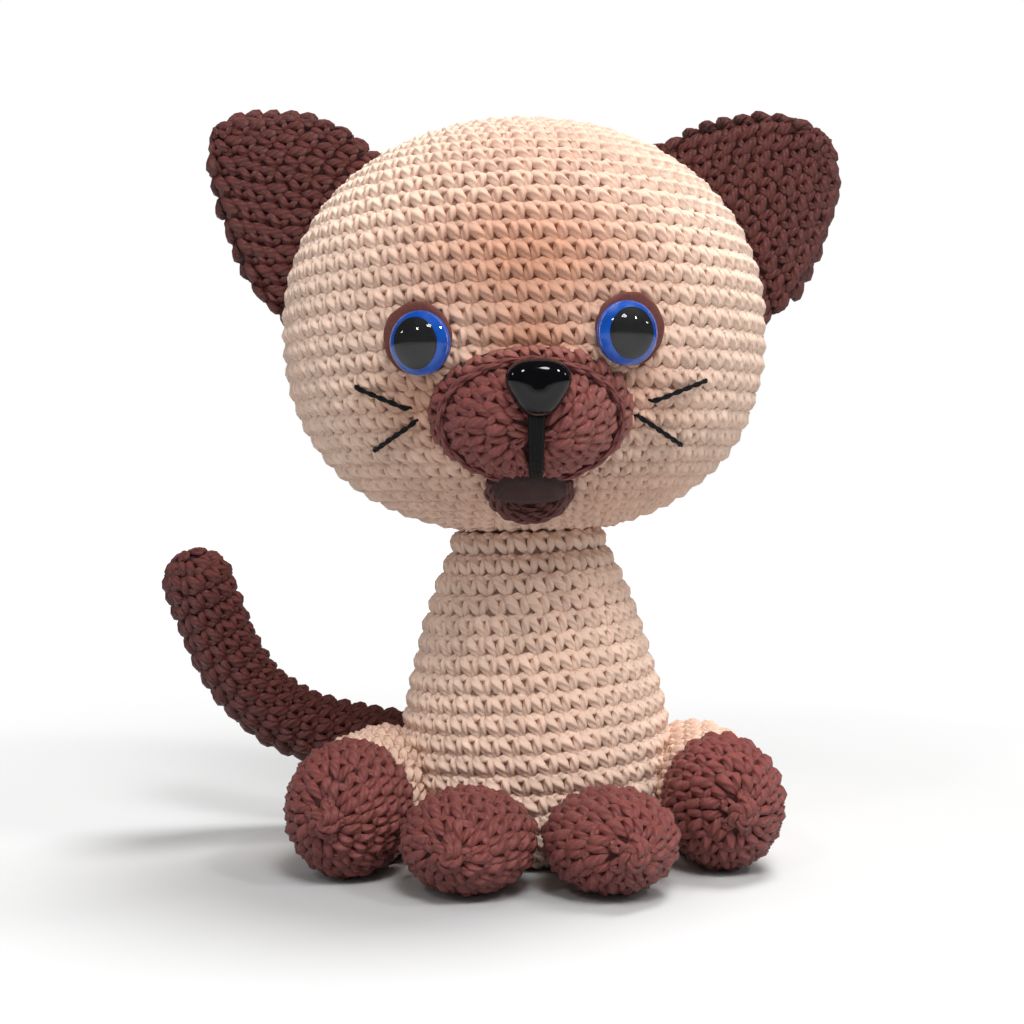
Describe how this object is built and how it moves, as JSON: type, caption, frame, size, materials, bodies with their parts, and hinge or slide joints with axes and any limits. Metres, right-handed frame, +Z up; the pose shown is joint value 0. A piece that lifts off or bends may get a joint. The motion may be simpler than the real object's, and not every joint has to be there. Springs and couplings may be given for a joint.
{
  "type": "crocheted toy cat",
  "caption": "Seated crocheted toy cat with a round head, pointed ears, domed safety eyes, a stitched muzzle, rounded paws and a curved tail, made to sit on a shelf.",
  "frame": {"origin": "centre of the body's flat base, on the surface the toy sits on", "axes": "+Z up, the cat faces -Y, +X to the onlooker's right"},
  "size_m": [0.1336, 0.1001, 0.1423],
  "materials": {
    "beige_yarn": "crocheted cotton, airbrushed peach",
    "brown_yarn": "crocheted cotton",
    "dark_brown_yarn": "crocheted cotton",
    "stuffing": "polyester filling",
    "black_thread": "embroidery thread",
    "felt": "smooth felt",
    "washer_plastic": "moulded",
    "iris_blue": "gloss",
    "pupil_black": "gloss",
    "clear_dome": "clear gloss",
    "nose_black": "gloss"
  },
  "bodies": {
    "torso": {"body_cover": "beige_yarn", "body_stuffing": "stuffing"},
    "neck": {"neck_seam": "beige_yarn"},
    "head": {"head_cover": "beige_yarn", "head_stuffing": "stuffing", "muzzle_cover": "brown_yarn", "muzzle_stuffing": "stuffing", "chin_lip": "brown_yarn", "mouth_stitch": "black_thread", "nose_button": "nose_black", "nose_washer": "washer_plastic", "whisker_left_upper": "black_thread", "whisker_left_lower": "black_thread", "whisker_right_upper": "black_thread", "whisker_right_lower": "black_thread", "left_eye_felt": "felt", "left_eye_iris": "iris_blue", "left_eye_pupil": "pupil_black", "left_eye_dome": "clear_dome", "left_eye_washer": "washer_plastic", "right_eye_felt": "felt", "right_eye_iris": "iris_blue", "right_eye_pupil": "pupil_black", "right_eye_dome": "clear_dome", "right_eye_washer": "washer_plastic"},
    "left_ear": {"left_ear": "dark_brown_yarn"},
    "right_ear": {"right_ear": "dark_brown_yarn"},
    "left_front_leg": {"left_front_paw": "brown_yarn", "left_front_stuffing": "stuffing"},
    "right_front_leg": {"right_front_paw": "brown_yarn", "right_front_stuffing": "stuffing"},
    "left_hind_leg": {"left_hind_paw": "brown_yarn", "left_hind_leg": "beige_yarn", "left_hind_stuffing": "stuffing"},
    "right_hind_leg": {"right_hind_paw": "brown_yarn", "right_hind_leg": "beige_yarn", "right_hind_stuffing": "stuffing"},
    "tail": {"tail_cover": "dark_brown_yarn", "tail_stuffing": "stuffing"}
  },
  "joints": [
    {"name": "head_turn", "type": "hinge", "parent": "torso", "child": "neck", "pos_m": [-0.00226, 0, 0.05875], "axis": [0, 0, 1], "range_deg": [-20, 20], "stiffness_Nm_per_rad": 0.25},
    {"name": "head_nod", "type": "hinge", "parent": "neck", "child": "head", "pos_m": [-0.00226, 0, 0.05875], "axis": [1, 0, 0], "range_deg": [-6, 6], "stiffness_Nm_per_rad": 1.2},
    {"name": "left_ear_flex", "type": "hinge", "parent": "head", "child": "left_ear", "pos_m": [-0.0413, 0.001, 0.118], "axis": [-0.4936, 0, -0.8697], "range_deg": [-10, 10], "stiffness_Nm_per_rad": 0.03},
    {"name": "right_ear_flex", "type": "hinge", "parent": "head", "child": "right_ear", "pos_m": [0.034, 0.001, 0.1192], "axis": [0.5458, 0, -0.8379], "range_deg": [-10, 10], "stiffness_Nm_per_rad": 0.03},
    {"name": "left_front_lift", "type": "hinge", "parent": "torso", "child": "left_front_leg", "pos_m": [-0.00887, -0.02476, 0.00925], "axis": [-0.9414, 0.3373, 0], "range_deg": [0, 8], "stiffness_Nm_per_rad": 0.06},
    {"name": "right_front_lift", "type": "hinge", "parent": "torso", "child": "right_front_leg", "pos_m": [0.00807, -0.02503, 0.00925], "axis": [-0.9518, -0.3067, 0], "range_deg": [0, 8], "stiffness_Nm_per_rad": 0.06},
    {"name": "left_hind_lift", "type": "hinge", "parent": "torso", "child": "left_hind_leg", "pos_m": [-0.02939, -0.00528, 0.0118], "axis": [-0.9613, 0.2756, 0], "range_deg": [0, 8], "stiffness_Nm_per_rad": 0.08},
    {"name": "right_hind_lift", "type": "hinge", "parent": "torso", "child": "right_hind_leg", "pos_m": [0.03007, 0.00125, 0.0118], "axis": [-0.9877, -0.1564, 0], "range_deg": [0, 8], "stiffness_Nm_per_rad": 0.08},
    {"name": "tail_swing", "type": "hinge", "parent": "torso", "child": "tail", "pos_m": [-0.013, 0.0205, 0.0154], "axis": [0, 0, 1], "range_deg": [-6, 5], "stiffness_Nm_per_rad": 0.08}
  ]
}
